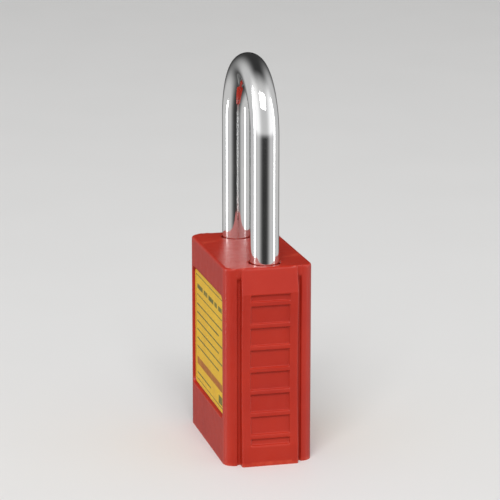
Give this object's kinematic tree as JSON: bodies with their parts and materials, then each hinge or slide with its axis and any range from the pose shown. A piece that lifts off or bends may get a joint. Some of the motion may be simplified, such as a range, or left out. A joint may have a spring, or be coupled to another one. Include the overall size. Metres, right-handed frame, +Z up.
{
  "type": "safety padlock",
  "caption": "Lockout padlock with a rectangular ribbed red body, a tall chromed round shackle, a labelled recess on each wide face and a keyed cylinder underneath.",
  "frame": {"origin": "middle of the underside of the body", "axes": "+X from the heel leg to the toe leg, +Y from the front face to the back face, +Z up along the legs"},
  "size_m": [0.038, 0.02, 0.0894],
  "materials": {
    "body_nylon": "moulded glass-filled nylon, semi-gloss, signal red",
    "cover_nylon": "moulded nylon, satin, signal red",
    "label": "printed vinyl sheet, semi-gloss yellow with plain ruled blocks",
    "shackle_chrome": "polished chrome plate on steel",
    "zinc": "as die-cast zinc alloy",
    "brass": "machined brass, satin",
    "plug_brass": "turned brass, bright",
    "steel": "zinc-plated steel",
    "ball_steel": "ground bearing steel",
    "actuator_steel": "sintered steel",
    "spring_steel": "drawn spring wire, bright"
  },
  "bodies": {
    "body": {"body_shell": "body_nylon", "base_cover": "cover_nylon", "lock_frame": "zinc", "cylinder_housing": "brass", "chamber_cap": "brass", "cylinder_screw": "steel", "shackle_retaining_pin": "steel", "label_front": "label", "label_back": "label", "shackle_spring": "spring_steel", "driver_pin_1": "brass", "driver_pin_2": "brass", "driver_pin_3": "brass", "driver_pin_4": "brass", "driver_pin_5": "brass", "driver_pin_6": "brass", "pin_spring_1": "spring_steel", "pin_spring_2": "spring_steel", "pin_spring_3": "spring_steel", "pin_spring_4": "spring_steel", "pin_spring_5": "spring_steel", "pin_spring_6": "spring_steel"},
    "shackle": {"shackle": "shackle_chrome"},
    "plug": {"plug": "plug_brass", "plug_clip": "spring_steel", "actuator": "actuator_steel", "key_pin_1": "plug_brass", "key_pin_2": "plug_brass", "key_pin_3": "plug_brass", "key_pin_4": "plug_brass", "key_pin_5": "plug_brass", "key_pin_6": "plug_brass"},
    "toe_ball": {"toe_ball": "ball_steel"},
    "heel_ball": {"heel_ball": "ball_steel"}
  },
  "joints": [
    {"name": "shackle_lift", "type": "slide", "parent": "body", "child": "shackle", "axis": [0, 0, 1], "range_m": [0, 0.014], "deforming": ["shackle_spring"]},
    {"name": "plug_turn", "type": "hinge", "parent": "body", "child": "plug", "pos_m": [0, 0, 0.015], "axis": [0, 0, 1], "range_deg": [-90, 0]},
    {"name": "toe_ball_slide", "type": "slide", "parent": "body", "child": "toe_ball", "axis": [1, 0, 0], "range_m": [0, 0.00165]},
    {"name": "heel_ball_slide", "type": "slide", "parent": "body", "child": "heel_ball", "axis": [-1, 0, 0], "range_m": [0, 0.00165]}
  ],
  "couplings": [
    {"joint": "toe_ball_slide", "follows": "plug_turn", "m_per_rad": -0.0010504},
    {"joint": "heel_ball_slide", "follows": "plug_turn", "m_per_rad": -0.0010504}
  ]
}
